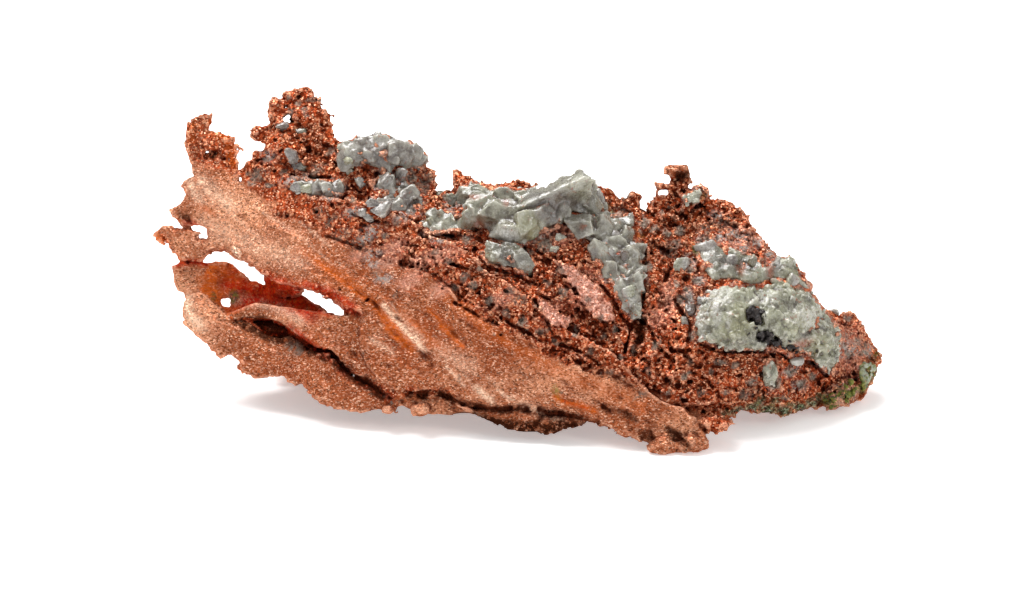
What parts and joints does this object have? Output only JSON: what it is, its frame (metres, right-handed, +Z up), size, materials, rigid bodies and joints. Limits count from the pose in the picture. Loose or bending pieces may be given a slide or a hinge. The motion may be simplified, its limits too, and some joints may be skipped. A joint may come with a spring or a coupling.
{
  "type": "copper ore specimen",
  "caption": "Native copper ore: thin leaves of sheet copper running into a crumbly copper mass, with pale green-grey prehnite masses and green crusts seated in it.",
  "frame": {"origin": "on the resting plane, under the middle of the bounding box", "axes": "+X along the specimen from the loose ends of the leaves to the nodule end, -Y the broad face with the leaves, +Z up"},
  "size_m": [0.12, 0.0552, 0.0485],
  "materials": {
    "copper": "natural native copper, satin with bright grains, red-brown in the recesses",
    "prehnite": "waxy pale green-grey, slightly translucent",
    "green_crust": "dull green crust",
    "dark_mineral": "dark, slightly shiny grains"
  },
  "bodies": {
    "root": {"dark_inclusion_lower": "dark_mineral", "dark_inclusion_middle": "dark_mineral", "dark_inclusion_upper": "dark_mineral", "green_crust_edge": "green_crust", "green_crust_foot": "green_crust", "native_copper": "copper", "prehnite_back_left": "prehnite", "prehnite_back_lower": "prehnite", "prehnite_back_upper": "prehnite", "prehnite_cap_right": "prehnite", "prehnite_crown": "prehnite", "prehnite_crown_lower": "prehnite", "prehnite_foot": "prehnite", "prehnite_nodule": "prehnite", "prehnite_ridge": "prehnite", "prehnite_shelf": "prehnite", "prehnite_tower_crystals": "prehnite", "prehnite_vein": "prehnite", "prehnite_wedge": "prehnite"}
  },
  "joints": []
}
